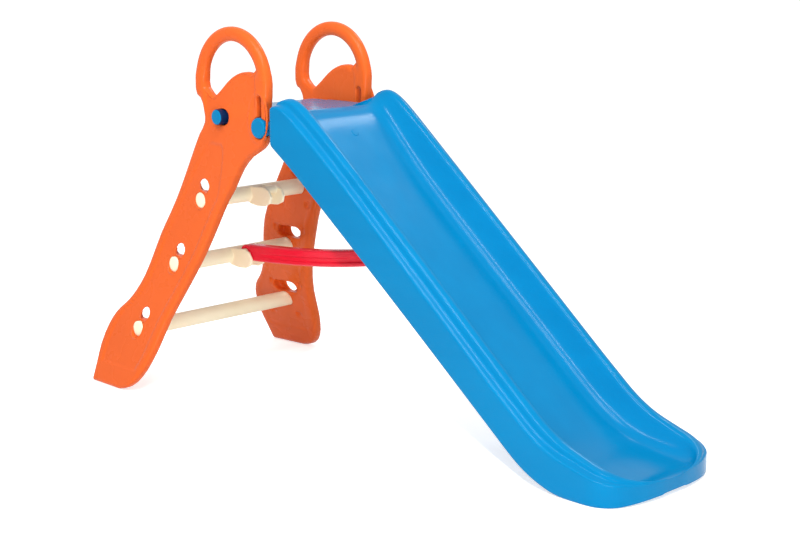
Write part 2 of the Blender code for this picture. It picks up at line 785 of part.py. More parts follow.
def make_chute(body):
    chute = loft("slide_chute", [rim_section(x) for x in chute_stations()], parts)
    tongue = prism("tongue", tongue_outline(), -TONGUE_HALF_WIDTH, TONGUE_HALF_WIDTH, cutters)
    hollow_tongue(tongue)
    combine(chute, tongue, "UNION")
    bake(chute)
    bpy.data.objects.remove(tongue)
    holes = [cylinder(f"boss_hole_{side}", PIVOT[0], PIVOT[1], BOSS_RADIUS + SEAT_GAP,
                      side * (TONGUE_HALF_WIDTH - TONGUE_FLANGE - CUT_REACH),
                      side * (TONGUE_HALF_WIDTH + CUT_REACH), cutters) for side in (-1, 1)]
    holes.append(floor_drill("outlet_hole", OUTLET_RADIUS + SEAT_GAP))
    cutter = join_meshes("chute_cuts", holes, cutters)
    combine(chute, cutter, "DIFFERENCE")
    bake(chute)
    keep_cutter(cutter, body)
    finish_piece(chute, "blue", body, roughness=0.28)


def hollow_tongue(tongue):
    """Leave a top plate, two flanges round the pivot and two ribs over the buttons."""
    plate_under = TONGUE_TOP - TONGUE_PLATE
    low = TONGUE_TOP - TONGUE_DEPTH
    rear = TONGUE_REAR_X - CUT_REACH
    inner = TONGUE_HALF_WIDTH - TONGUE_FLANGE
    rear_inner = TONGUE_REAR_HALF_WIDTH - TONGUE_RIB
    cuts = [
        box("front_hollow", (FLANGE_START, -inner, low), (CHUTE_REAR_X + 0.002, inner, plate_under),
            cutters),
        box("rear_hollow", (rear, -rear_inner, low), (FLANGE_START + 0.002, rear_inner, plate_under),
            cutters),
    ]
    for side in (-1, 1):
        edge = sorted((side * TONGUE_REAR_HALF_WIDTH, side * (TONGUE_HALF_WIDTH + CUT_REACH)))
        cuts.append(box(f"corner_{side}", (rear, edge[0], low),
                        (TONGUE_CORNER_END, edge[1], TONGUE_TOP + CUT_REACH), cutters))
    cutter = join_overlapping("tongue_cuts", cuts)
    combine(tongue, cutter, "DIFFERENCE")
    bake(tongue)
    bpy.data.objects.remove(cutter)


def floor_frame(x):
    """Place whose Z stands square to the chute's floor at x, with X down the slope."""
    slope = slope_at(FLOOR_LINE, x)
    down = Vector((1.0, 0.0, slope)).normalized()
    up = Vector((-down.z, 0.0, down.x))
    across = up.cross(down)
    turn = Matrix((down, across, up)).transposed().to_4x4()
    return Matrix.Translation((x, 0.0, height_at(FLOOR_LINE, x))) @ turn


def floor_drill(name, radius):
    mesh = bpy.data.meshes.new(name)
    work = bmesh.new()
    bmesh.ops.create_cone(work, cap_ends=True, segments=16, radius1=radius, radius2=radius, depth=0.05,
                          matrix=floor_frame(OUTLET_X))
    work.to_mesh(mesh)
    work.free()
    return solid(name, mesh, cutters)


def make_water_fittings(body):
    """Outlet through the floor under the seat, its nut, and the hose inlet on its shank."""
    place = floor_frame(OUTLET_X)
    top = SEAT_GAP + OUTLET_FLANGE
    shank_end = -OUTLET_SHANK
    profile = [(0.0, top), (OUTLET_FLANGE_RADIUS - 0.002, top), (OUTLET_FLANGE_RADIUS, SEAT_GAP),
               (OUTLET_RADIUS, SEAT_GAP), (OUTLET_RADIUS, shank_end), (0.0, shank_end)]
    outlet = turned("water_outlet", profile, place, parts, sides=16)
    finish_piece(outlet, "blue", body)
    nut_top = -WALL - SEAT_GAP
    nut_bottom = nut_top - NUT_HEIGHT
    bore = OUTLET_RADIUS + SEAT_GAP
    hex_bore = bore / math.cos(math.pi / 6)
    nut = turned("outlet_nut", [(hex_bore, nut_top), (NUT_RADIUS, nut_top), (NUT_RADIUS, nut_bottom),
                                (hex_bore, nut_bottom)], place, parts, sides=6)
    finish_piece(nut, "grey", body)
    collar = nut_bottom - SEAT_GAP
    end = shank_end - INLET_LENGTH
    barb = INLET_RADIUS * 0.72
    seat = shank_end - SEAT_GAP
    profile = [(bore, collar), (INLET_RADIUS, collar), (INLET_RADIUS, seat - 0.006), (barb, seat - 0.008),
               (barb, end + 0.016), (barb + 0.0015, end + 0.012), (barb, end + 0.009),
               (barb + 0.0012, end + 0.005), (barb - 0.001, end), (INLET_BORE, end), (INLET_BORE, seat),
               (bore, seat)]
    inlet = turned("hose_inlet", profile, place, parts, sides=16)
    finish_piece(inlet, "grey", body)


def make_boss(side, body):
    """Pivot boss: a headed pin through the tongue's flange that turns in the keyhole."""
    name = "pivot_boss_left" if side > 0 else "pivot_boss_right"
    inner = TONGUE_HALF_WIDTH - TONGUE_FLANGE - SEAT_GAP
    outer = PANEL_SPACING + PANEL_THICKNESS / 2 + BOSS_STAND_OUT
    profile = [(0.0, outer), (BOSS_RADIUS - 0.006, outer), (BOSS_RADIUS - 0.0015, outer - 0.0015),
               (BOSS_RADIUS, outer - 0.005), (BOSS_RADIUS, inner), (BOSS_HEAD_RADIUS, inner),
               (BOSS_HEAD_RADIUS, inner - BOSS_HEAD), (0.0, inner - BOSS_HEAD)]
    boss = turned(name, profile, side_matrix(side, *PIVOT), parts)
    finish_piece(boss, "blue", body, roughness=0.3)


def make_button(side, body):
    """Cap, shaft, waist and nose of a lock button, turned in one."""
    name = "lock_button_left" if side > 0 else "lock_button_right"
    face = PANEL_SPACING + PANEL_THICKNESS / 2
    crown = face + BUTTON_STAND_OUT
    skirt = face - BUTTON_SKIRT
    nose_end = TONGUE_REAR_HALF_WIDTH - TONGUE_RIB - 0.004
    waist_end = TONGUE_REAR_HALF_WIDTH + 0.0006
    waist_start = waist_end + TONGUE_RIB
    radius = BUTTON_RADIUS
    profile = [(0.0, crown), (radius * 0.8, crown - 0.0008), (radius - 0.0012, crown - 0.0025),
               (radius, crown - 0.005), (radius, skirt), (SHAFT_RADIUS, skirt), (SHAFT_RADIUS, waist_start),
               (WAIST_RADIUS, waist_start - 0.0015), (WAIST_RADIUS, waist_end + 0.0015),
               (SHAFT_RADIUS, waist_end), (SHAFT_RADIUS, nose_end + 0.003),
               (SHAFT_RADIUS - 0.003, nose_end), (0.0, nose_end)]
    button = turned(name, profile, side_matrix(side, *BUTTON), parts)
    near = side * (skirt + SEAT_GAP)
    tab = capsule("tab", BUTTON[0], BUTTON[0] + BUTTON_HOLE_LONGER - BUTTON_TAB_INSET, BUTTON[1],
                  radius - BUTTON_TAB_INSET, near, near + side * BUTTON_TAB, cutters)
    combine(button, tab, "UNION")
    bake(button)
    bpy.data.objects.remove(tab)
    finish_piece(button, "blue", body, roughness=0.3)


def make_clip(side, body):
    """Ring that stops the button at the panel's inner face."""
    name = "button_clip_left" if side > 0 else "button_clip_right"
    top = PANEL_SPACING - PANEL_THICKNESS / 2 - SEAT_GAP
    bore = SHAFT_RADIUS + SEAT_GAP
    profile = [(bore, top), (CLIP_RADIUS, top), (CLIP_RADIUS, top - CLIP_THICKNESS),
               (bore, top - CLIP_THICKNESS)]
    clip = turned(name, profile, side_matrix(side, *BUTTON), parts)
    finish_piece(clip, "steel", body, roughness=0.3, metallic=1.0)


def make_spring(side, body):
    """Coil round the shaft, between the panel's web and the button's cap."""
    name = "lock_spring_left" if side > 0 else "lock_spring_right"
    web = PANEL_SPACING - PANEL_THICKNESS / 2 + BUTTON_WEB
    skirt = PANEL_SPACING + PANEL_THICKNESS / 2 - BUTTON_SKIRT
    start = web + SPRING_WIRE / 2 + SEAT_GAP
    end = skirt - SPRING_WIRE / 2 - SEAT_GAP
    radius = (SHAFT_RADIUS + BUTTON_RADIUS) / 2
    curve = bpy.data.curves.new(name, "CURVE")
    curve.dimensions = "3D"
    curve.bevel_depth = SPRING_WIRE / 2
    curve.bevel_resolution = 1
    curve.use_fill_caps = True
    spline = curve.splines.new("POLY")
    count = SPRING_TURNS * SPRING_POINTS
    spline.points.add(count)
    for i, point in enumerate(spline.points):
        angle = 2 * math.pi * i / SPRING_POINTS
        height = start + (end - start) * i / count
        point.co = (radius * math.cos(angle), radius * math.sin(angle), height, 1.0)
    print_least_gap(name, [Vector(point.co[:3]) for point in spline.points])
    spring = from_curve(name, curve, side_matrix(side, *BUTTON), parts)
    finish_piece(spring, "steel", body, roughness=0.3, metallic=1.0)


def print_least_gap(name, centres):
    """The narrowest space between a spring's turns, measured between its points."""
    away = SPRING_POINTS // 2
    least = min((one - other).length for i, one in enumerate(centres) for other in centres[i + away:])
    print(name, "least gap to itself", round((least - SPRING_WIRE) * 1000, 2), "mm")


def brace_pin_place():
    """The cross pin hangs a set distance under the chute's floor."""
    frame = floor_frame(BRACE_PIN_X)
    return frame @ Vector((0.0, 0.0, -WALL - BRACE_PIN_DROP))


def brace_centreline():
    """From the saddle pin to the cross pin, sagging below the straight line between them."""
    start = Vector((hook_place()[0], 0.0, hook_place()[1]))
    end = brace_pin_place()
    along = end - start
    square = Vector((along.z, 0.0, -along.x)).normalized()
    first = (SADDLE_PIN_RADIUS + HOOK_WALL * 0.5) / along.length
    points = []
    for i in range(BRACE_STEPS + 1):
        t = first + (1.0 - first) * i / BRACE_STEPS
        sag = BRACE_SAG * math.sin(math.pi * t)
        points.append(start + along * t + square * sag)
    return points


def brace_section(point, direction, half_height, groove):
    """A bar section with a long groove in each side."""
    up = Vector((-direction.z, 0.0, direction.x))
    wide = BRACE_HALF_WIDTH
    flat = wide - BRACE_CORNER
    high = half_height - BRACE_CORNER
    side = [(wide - groove * depth, half_height * share) for share, depth in BRACE_SIDE]
    shape = [(flat, half_height), (wide, high)] + side + [(wide, -high), (flat, -half_height)]
    ring = shape + [(-y, z) for y, z in reversed(shape)]
    return [point + Vector((0.0, y, 0.0)) + up * z for y, z in ring]


def make_brace(body):
    line = brace_centreline()
    sections = []
    for i, point in enumerate(line):
        direction = (line[min(i + 1, len(line) - 1)] - line[max(i - 1, 0)]).normalized()
        t = i / (len(line) - 1)
        taper = 1.0 - (1.0 - BRACE_TIP) * max(0.0, (t - BRACE_TIP_START) / (1.0 - BRACE_TIP_START))
        groove = BRACE_GROOVE * min(1.0, max(0.0, (t - 0.06) / 0.10)) * min(1.0, (1.0 - t) / 0.10) + 0.0003
        sections.append(brace_section(point, direction, BRACE_HALF_HEIGHT * taper, groove))
    bar = loft("brace_bar", sections, parts)
    pin = brace_pin_place()
    tip_radius = BRACE_HALF_HEIGHT * BRACE_TIP
    tip_half = BRACE_HALF_WIDTH - 0.0004
    tip = cylinder("tip", pin.x, pin.z, tip_radius, -tip_half, tip_half, cutters)
    hook = outline_solid("hook", [hook_outline()], BRACE_HALF_WIDTH - 0.0008, 0.002, cutters, resolution=1)
    for piece in (tip, hook):
        combine(bar, piece, "UNION")
        bake(bar)
        bpy.data.objects.remove(piece)
    reach = BRACE_HALF_WIDTH + CUT_REACH
    bore = cylinder("pin_hole", pin.x, pin.z, BRACE_PIN_RADIUS + SEAT_GAP, -reach, reach, cutters)
    journal = cylinder("journal", *hook_place(), SADDLE_PIN_RADIUS + RUNNING_GAP, -reach, reach, cutters,
                       sides=32)
    cutter = join_meshes("brace_cuts", [bore, journal], cutters)
    combine(bar, cutter, "DIFFERENCE")
    bake(bar)
    keep_cutter(cutter, body)
    finish_piece(bar, "red", body, roughness=0.3)


def hook_outline():
    """C shape round the saddle pin, open away from the chute."""
    inner = SADDLE_PIN_RADIUS + RUNNING_GAP + 0.0002
    outer = inner + HOOK_WALL
    outside = arc(hook_place(), outer, HOOK_TOP_ANGLE, HOOK_JAW_ANGLE, 20)
    inside = arc(hook_place(), inner, HOOK_JAW_ANGLE, HOOK_TOP_ANGLE, 20)
    return [(x, z, True) for x, z in outside + inside]


def make_brace_pin(body):
    pin = brace_pin_place()
    half = BRACE_PIN_HALF_LENGTH
    chamfer = 0.001
    radius = BRACE_PIN_RADIUS
    profile = [(0.0, half), (radius - chamfer, half), (radius, half - chamfer), (radius, -half + chamfer),
               (radius - chamfer, -half), (0.0, -half)]
    piece = turned("brace_pin", profile, side_matrix(1, pin.x, pin.z), parts, sides=20)
    finish_piece(piece, "steel", body, roughness=0.3, metallic=1.0)


def bracket_frame():
    """Pin-centred place, X down the slope and Z square to the floor."""
    frame = floor_frame(BRACE_PIN_X)
    frame.translation = brace_pin_place()
    return frame


def make_bracket(body):
    """Plate under the floor with two hooked ears that catch the cross pin."""
    place = bracket_frame()
    plate_top = BRACE_PIN_DROP - SEAT_GAP
    plate_low = plate_top - BRACKET_PLATE
    half = BRACKET_LENGTH / 2
    jaw = BRACE_PIN_RADIUS + BRACKET_JAW
    lips = [(jaw * along, jaw * up) for along, up in JAW_SHAPE]
    front = lips[-1][0]
    wide, low = BRACKET_FILLETS
    profile = [(-half, plate_top), (-half, plate_low), (-jaw - wide, plate_low), (-jaw, plate_low - wide)]
    profile += lips + [(front, plate_low - low), (front + wide, plate_low), (half, plate_low),
                       (half, plate_top)]
    bracket = prism("brace_bracket", profile, -BRACKET_HALF_WIDTH, BRACKET_HALF_WIDTH, parts)
    room = BRACE_HALF_WIDTH + BRACKET_ROOM
    reach = SLOT_LENGTH
    middle = box("ear_gap", (-reach, -room, -reach), (reach, room, plate_low), cutters)
    slot = pin_slot()
    cutter = join_overlapping("bracket_cuts", [middle, slot])
    combine(bracket, cutter, "DIFFERENCE")
    bake(bracket)
    holes = [cone_at(f"screw_hole_{i}", x, SCREW_RADIUS + SEAT_GAP, plate_low - CUT_REACH,
                     plate_top + CUT_REACH) for i, x in enumerate(screw_places())]
    drill = join_meshes("bracket_holes", holes, cutters)
    combine(bracket, drill, "DIFFERENCE")
    bake(bracket)
    bpy.data.objects.remove(drill)
    bracket.data.transform(place)
    cutter.data.transform(place)
    keep_cutter(cutter, body)
    finish_piece(bracket, "blue", body)


def pin_slot():
    """Slot from the pin's seat down and away from the floor, wide enough for the pin to leave."""
    radius = BRACE_PIN_RADIUS + RUNNING_GAP
    drop = math.radians(SLOT_DROP_ANGLE)
    far = (SLOT_LENGTH * math.cos(drop), -SLOT_LENGTH * math.sin(drop))
    points = arc((0.0, 0.0), radius, 90 - SLOT_DROP_ANGLE, 270 - SLOT_DROP_ANGLE, 10)
    points += arc(far, radius * SLOT_FLARE, 270 - SLOT_DROP_ANGLE, 450 - SLOT_DROP_ANGLE, 4)
    reach = BRACKET_HALF_WIDTH + CUT_REACH
    return prism("pin_slot", points, -reach, reach, cutters)


def screw_places():
    return (-BRACKET_LENGTH / 2 + SCREW_INSET, BRACKET_LENGTH / 2 - SCREW_INSET)


def cone_at(name, x, radius, low, high):
    mesh = bpy.data.meshes.new(name)
    work = bmesh.new()
    place = Matrix.Translation((x, 0.0, (low + high) / 2))
    bmesh.ops.create_cone(work, cap_ends=True, segments=12, radius1=radius, radius2=radius,
                          depth=high - low, matrix=place)
    work.to_mesh(mesh)
    work.free()
    return solid(name, mesh, cutters)


def make_bracket_screws(body):
    """Pan-head screws that hold the bracket's plate; their tips end at the floor's underside."""
    low = BRACE_PIN_DROP - SEAT_GAP - BRACKET_PLATE
    head = low - SEAT_GAP
    for i, x in enumerate(screw_places()):
        profile = [(0.0, low + BRACKET_PLATE), (SCREW_RADIUS, low + BRACKET_PLATE), (SCREW_RADIUS, head),
                   (SCREW_HEAD_RADIUS, head), (SCREW_HEAD_RADIUS * 0.8, head - SCREW_HEAD),
                   (0.0, head - SCREW_HEAD)]
        place = bracket_frame() @ Matrix.Translation((x, 0.0, 0.0))
        name = "bracket_screw_upper" if i == 0 else "bracket_screw_lower"
        screw = turned(name, profile, place, parts, sides=12)
        finish_piece(screw, "steel", body, roughness=0.3, metallic=1.0)


def make_body(name, location, parent):
    """An empty on a joint's axis; its origin is kept in the root's own coordinates."""
    origin = Vector(location)
    start = parent["origin"] if parent else Vector((0.0, 0.0, 0.0))
    marker = empty(name, origin - start, parent["empty"] if parent else None)
    return {"empty": marker, "origin": origin}


def build():
    ladder = make_body("slide_root", (0.0, 0.0, 0.0), None)
    ladder["empty"].location = (-CENTRE_X, 0.0, 0.0)
    chute = make_body("fold_axis", (PIVOT[0], 0.0, PIVOT[1]), ladder)
    brace = make_body("brace_axis", (hook_place()[0], 0.0, hook_place()[1]), ladder)
    for label, place, ahead, saddle in RUNGS:
        make_rung(label + "_rung", place, saddle, ladder)
    for side, word in ((1, "left"), (-1, "right")):
        make_panel(side, ladder)
        for label, place, ahead, saddle in RUNGS:
            make_cap(f"{label}_cap_{word}", place, side, ladder)
        make_boss(side, chute)
        button = make_body("button_axis_" + word, (BUTTON[0], side * PANEL_SPACING, BUTTON[1]), ladder)
        make_button(side, button)
        make_clip(side, button)
        make_spring(side, button)
    make_chute(chute)
    make_water_fittings(chute)
    make_bracket(chute)
    make_bracket_screws(chute)
    make_brace(brace)
    make_brace_pin(brace)


clear_scene()
parts = collection("kids_slide")
cutters = collection("cutters")
build()
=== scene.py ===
"""Looks of the folding child's slide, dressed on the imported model.

Lengths are in metres. X values in the outlines are measured from the middle of the ladder's
foot, and FOOT_X is where that point lies in the frame.
"""
import json
import math

import bpy
from mathutils import Matrix, Vector

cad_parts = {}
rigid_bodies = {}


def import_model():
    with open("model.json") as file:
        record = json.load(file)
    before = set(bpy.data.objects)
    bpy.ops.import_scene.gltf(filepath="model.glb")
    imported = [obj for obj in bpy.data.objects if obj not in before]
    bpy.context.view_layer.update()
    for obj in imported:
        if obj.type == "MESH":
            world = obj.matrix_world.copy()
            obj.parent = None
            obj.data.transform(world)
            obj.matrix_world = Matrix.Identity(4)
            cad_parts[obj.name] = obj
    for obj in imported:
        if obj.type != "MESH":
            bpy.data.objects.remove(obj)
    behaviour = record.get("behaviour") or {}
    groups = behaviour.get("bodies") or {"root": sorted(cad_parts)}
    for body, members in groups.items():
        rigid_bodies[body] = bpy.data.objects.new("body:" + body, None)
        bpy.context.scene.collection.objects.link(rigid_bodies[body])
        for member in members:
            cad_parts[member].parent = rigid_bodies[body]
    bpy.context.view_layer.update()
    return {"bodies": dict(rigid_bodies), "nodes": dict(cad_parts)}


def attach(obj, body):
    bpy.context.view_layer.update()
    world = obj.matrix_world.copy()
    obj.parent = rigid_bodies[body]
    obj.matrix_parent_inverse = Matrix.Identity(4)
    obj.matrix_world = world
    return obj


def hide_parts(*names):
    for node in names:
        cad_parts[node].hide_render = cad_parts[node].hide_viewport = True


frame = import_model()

FOOT_X = -0.810

# Camera, room and floor
CAMERA_PLACE = (3.169, -3.250, 1.368)
CAMERA_YAW = 134.17
CAMERA_PITCH = -11.51
CAMERA_LENS = 72.64
SENSOR_WIDTH = 36.0
ROOM_LIGHT = 0.52
FLOOR_SIZE = 60.0
FLOOR_DROP = 0.0005
FLOOR_TONE = 0.86
FLOOR_ROUGHNESS = 0.9
FLOOR_GLOW = 0.62

# Skin of the moulded pieces: voxel sizes, and how often each skin is smoothed
MERGE_REACH = 0.00001
SMOOTHING = 0.5
PANEL_VOXEL = 0.0029
TONGUE_VOXEL = 0.0026
RUNG_VOXEL = 0.0016
BAR_VOXEL = 0.0014
SMALL_VOXEL = 0.0009
PANEL_PASSES = 6
PANEL_LAST_PASSES = 2
TONGUE_PASSES = 8
SMALL_PASSES = 3

# Ladder panels
PANEL_SPACING = 0.200
PANEL_THICKNESS = 0.036
SPLAY_HEIGHT = 0.440
SPLAY_BLEND = 0.200
SPLAY_SLOPE = 0.420
SPLAY_TOE = 0.12
RUNG_LINE = ((0.190, 0.591), (0.094, 0.384), (0.0015, 0.178))
SOFT_STEP = 0.010
FACING_START = 0.75
FACING_FADE = 0.2
INNER_SHARE = 0.3

# Hand loops
GRIP_CENTRE = (0.338, 0.955)
GRIP_RADIUS = 0.140
GRIP_TUBE = 0.043
GRIP_SQUARENESS = 2.3
GRIP_REACH = 1.3
GRIP_ROUND_START = 0.002
GRIP_ROUND_FADE = 0.045
GRIP_HOLLOW = 0.0060
GRIP_HOLLOW_FOOT = 0.845
GRIP_HOLLOW_FADE = 0.060

# Shallow field of each leg
LEG_HOLLOW = 0.0040
LEG_HOLLOW_TOP = 0.775
LEG_HOLLOW_FOOT = 0.060
LEG_TOP_FLAT = 0.02
LEG_TOP_CURVE = 50.0
LEG_BORDER = 0.030

# Lock buttons and their holes
BUTTON = (0.297, 0.852)
BUTTON_RADIUS = 0.0235
# Painted shade on each lock button's rim, standing in for the shadow in its hole: its width and its
# fade
BUTTON_PAINTED_SHADE_WIDTH = 0.0016
BUTTON_PAINTED_SHADE_FADE = 0.0006
BUTTON_HOLE_LONGER = 0.012
BUTTON_HOLE_DEPTH = 0.028
BUTTON_HOLE_SOFTENED = 0.006
RUNNING_GAP = 0.0006
SKIN_INSET = 0.0002

# Chute
CHUTE_REAR_X = 0.535
FRONT_X = 1.785
CHUTE_HALF_WIDTH = 0.232
CHUTE_TOP_FLARE = 0.008
TOP_FLARE_START = 0.80
TOP_FLARE_RUN = 0.25
WALL = 0.012
SIDE_WALL = 0.010
END_WALL = 0.014
LEAST_SKIN = 0.002
REAR_EDGE_INSET = 0.005
REAR_EDGE_RUN = 0.006
REAR_EDGE_STEP = 0.0015
LIP_SOLID = 0.036
LIP_ROUND = 0.115
LIP_SQUARENESS = 2.6
LIP_TURN_END = 0.995
RIM_SLOPE_CUT = 0.030
RIM_CUT_SHARE = 0.35
RIM_CUT_STEEPEST = 1.3
RIM_CORNER = 0.004
FOOT_ROUND = 0.010
FOOT_ROUND_SHARE = 0.3
CORNER_RISE = 0.002
CORNER_CUT = 0.0005
CORNER_RUN = 0.003
UNDERSIDE_TURN = 0.120
TONGUE_OVERLAP = 0.003
SLOPE_REACH = 0.02

# Rings of the chute's skin
TOP_RINGS = (0.566, 0.585, 0.605, 0.630, 0.660, 0.720)
RUN_RINGS = (0.800, 0.100, 6)
BEND_RINGS = (1.350, 0.030, 9)
LIP_RINGS = (0, 12, 24, 36, 48, 58, 67, 75, 82, 90)
RING_STEP = 0.001

# Heights along the chute
CREST_LINE = (
    (0.535, 0.900), (0.552, 0.917), (0.585, 0.924), (0.620, 0.912), (0.660, 0.886), (0.800, 0.772),
    (1.000, 0.6025), (1.200, 0.4325), (1.400, 0.262), (1.460, 0.212), (1.520, 0.164),
    (1.600, 0.121), (1.700, 0.089), (1.752, 0.067), (1.785, 0.048),
)
FLOOR_LINE = (
    (0.535, 0.880), (0.560, 0.876), (0.600, 0.852), (0.660, 0.795), (0.800, 0.663), (1.000, 0.4935),
    (1.200, 0.3235), (1.400, 0.155), (1.460, 0.112), (1.520, 0.078), (1.600, 0.053),
    (1.700, 0.040), (1.738, 0.0385), (1.760, 0.0430), (1.785, 0.0445),
)
BOTTOM_LINE = (
    (0.535, 0.792), (0.556, 0.776), (0.619, 0.730), (0.800, 0.583), (1.000, 0.4245), (1.200, 0.264),
    (1.400, 0.102), (1.450, 0.062), (1.500, 0.032), (1.550, 0.012), (1.600, 0.000),
    (1.710, 0.000), (1.755, 0.002), (1.785, 0.009),
)

# Half of the chute's section: Y, and the height as a share of the rise, the rim's drop or the
# lower edge's rounding
CHANNEL_SHAPE = (
    (0.000, 0.0), (0.060, 0.0), (0.104, 0.0), (0.122, 0.02), (0.138, 0.10), (0.152, 0.28),
    (0.166, 0.62), (0.174, 0.88), (0.181, 0.975), (0.187, 0.996), (0.193, 1.0),
)
RIM_SHAPE = (
    (0.1995, 0.08), (0.2055, 0.17), (0.2085, 0.27), (0.2098, 0.52), (0.2112, 0.72),
    (0.2140, 0.86), (0.2200, 0.95), (0.2262, 1.03), (0.2300, 1.12), (0.2318, 1.25),
)
FOOT_SHAPE = (
    (0.2320, 1.0), (0.2310, 0.3), (0.2285, 0.0), (0.2240, 0.0),
)

# Patterns of the finishes: scale and detail
CLOUDS = (5.0, 4.0)
STREAKS = (14.0, 3.0)
STREAK_STRETCH = (0.10, 1.0, 1.0)
GLOSS_PATCHES = (12.0, 3.0)
WAVES = (9.0, 0.0)
GRAIN = (1400.0, 2.0)
BRUSH_LINES = (260.0, 4.0)
BRUSH_STRETCH = (1.0, 0.06, 1.0)
PATTERN_MIDDLE = (0.35, 0.65)
GLOSS_SPREAD = 0.12
WAVE_STRENGTH = 0.35
GRAIN_STRENGTH = 0.25
BRUSH_STRENGTH = 0.2
BRUSH_DEPTH = 0.00005
BRUSH_DARKER = 0.78
BRUSH_GLOSS = (0.8, 1.3)


def only(*things):
    """Deselect everything, then select these, with the first one active."""
    bpy.ops.object.select_all(action="DESELECT")
    for thing in things:
        thing.select_set(True)
    bpy.context.view_layer.objects.active = things[0]


def finish_step(piece, kind, **settings):
    """Add a modifier, set it and apply it."""
    only(piece)
    step = piece.modifiers.new(kind.title(), kind)
    for name, value in settings.items():
        setattr(step, name, value)
    bpy.ops.object.modifier_apply(modifier=step.name)


def copy_of(node, name):
    """A piece of its own on a node's mesh, with its doubles merged."""
    piece = bpy.data.objects.new(name, frame["nodes"][node].data.copy())
    bpy.context.scene.collection.objects.link(piece)
    only(piece)
    bpy.ops.mesh.customdata_custom_splitnormals_clear()
    bpy.ops.object.mode_set(mode="EDIT")
    bpy.ops.mesh.select_all(action="SELECT")
    bpy.ops.mesh.remove_doubles(threshold=MERGE_REACH)
    bpy.ops.object.mode_set(mode="OBJECT")
    return piece


def soften(piece, voxel, passes):
    """An even skin with every edge rounded, as blow moulding leaves it."""
    finish_step(piece, "REMESH", mode="VOXEL", voxel_size=voxel)
    finish_step(piece, "SMOOTH", factor=SMOOTHING, iterations=passes)
    piece.data.shade_smooth()


def frame_body(node):
    """The body that carries a node."""
    carrier = frame["nodes"][node].parent
    return next(name for name, body in frame["bodies"].items() if body == carrier)


def hand_over(piece, finish, node):
    """Give a piece its finish, and the body and the place of the node that it stands for."""
    piece.data.materials.clear()
    piece.data.materials.append(finish)
    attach(piece, frame_body(node))
    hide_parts(node)


def make_softened(node, voxel, finish):
    """A node's own shape with a finer, rounded skin."""
    piece = copy_of(node, "moulded_" + node)
    soften(piece, voxel, SMALL_PASSES)
    hand_over(piece, finish, node)


def dress_node(node, finish):
    """Keep a node's shape and give it a better finish."""
    for place in frame["nodes"][node].material_slots:
        place.material = finish


def ease(value):
    """Smooth step from 0 to 1."""
    t = max(0.0, min(1.0, value))
    return t * t * (3.0 - 2.0 * t)


def link_noise(tree, place, pattern, stretch=(1.0, 1.0, 1.0), turn=0.0):
    """A noise pattern on Object coordinates, stretched and turned about Y."""
    scale, detail = pattern
    mapping = tree.nodes.new("ShaderNodeMapping")
    mapping.inputs["Scale"].default_value = stretch
    mapping.inputs["Rotation"].default_value = (0.0, turn, 0.0)
    tree.links.new(place.outputs["Object"], mapping.inputs["Vector"])
    noise = tree.nodes.new("ShaderNodeTexNoise")
    noise.inputs["Scale"].default_value = scale
    noise.inputs["Detail"].default_value = detail
    tree.links.new(mapping.outputs["Vector"], noise.inputs["Vector"])
    return noise.outputs["Fac"]


def link_range(tree, source, low, high, spread_over=PATTERN_MIDDLE):
    """Spread a value's range, by default the middle of a pattern, over another range."""
    spread = tree.nodes.new("ShaderNodeMapRange")
    spread.inputs["From Min"].default_value = spread_over[0]
    spread.inputs["From Max"].default_value = spread_over[1]
    spread.inputs["To Min"].default_value = low
    spread.inputs["To Max"].default_value = high
    tree.links.new(source, spread.inputs["Value"])
    return spread.outputs["Result"]


def link_tone(tree, factor, tone, other):
    """Blend two tones of a colour by a pattern."""
    blend = tree.nodes.new("ShaderNodeMix")
    blend.data_type = "RGBA"
    blend.inputs["A"].default_value = (*tone, 1.0)
    blend.inputs["B"].default_value = (*other, 1.0)
    tree.links.new(factor, blend.inputs["Factor"])
    return blend.outputs["Result"]


def link_bump(tree, height, strength, distance, below=None):
    """Raise a pattern on the surface, on top of another bump where one is given."""
    bump = tree.nodes.new("ShaderNodeBump")
    bump.inputs["Strength"].default_value = strength
    bump.inputs["Distance"].default_value = distance
    tree.links.new(height, bump.inputs["Height"])
    if below:
        tree.links.new(below, bump.inputs["Normal"])
    return bump.outputs["Normal"]


def moulded_plastic(name, tone, deep, roughness, wave=0.0004, grain=0.00003, streak=None,
                    specular=0.4):
    """Moulded plastic: faint cloudiness, uneven gloss, a soft waviness and a fine grain."""
    finish = bpy.data.materials.new(name)
    finish.use_nodes = True
    tree = finish.node_tree
    shader = tree.nodes["Principled BSDF"]
    place = tree.nodes.new("ShaderNodeTexCoord")
    if streak is None:
        cloud = link_noise(tree, place, CLOUDS)
    else:
        cloud = link_noise(tree, place, STREAKS, STREAK_STRETCH, streak)
    factor = link_range(tree, cloud, 0.0, 1.0)
    tree.links.new(link_tone(tree, factor, tone, deep), shader.inputs["Base Color"])
    patches = link_noise(tree, place, GLOSS_PATCHES)
    low, high = roughness * (1 - GLOSS_SPREAD), roughness * (1 + GLOSS_SPREAD)
    tree.links.new(link_range(tree, patches, low, high), shader.inputs["Roughness"])
    waves = link_noise(tree, place, WAVES)
    speckle = link_noise(tree, place, GRAIN)
    skin = link_bump(tree, waves, WAVE_STRENGTH, wave)
    skin = link_bump(tree, speckle, GRAIN_STRENGTH, grain, below=skin)
    tree.links.new(skin, shader.inputs["Normal"])
    shader.inputs["Specular IOR Level"].default_value = specular
    return finish


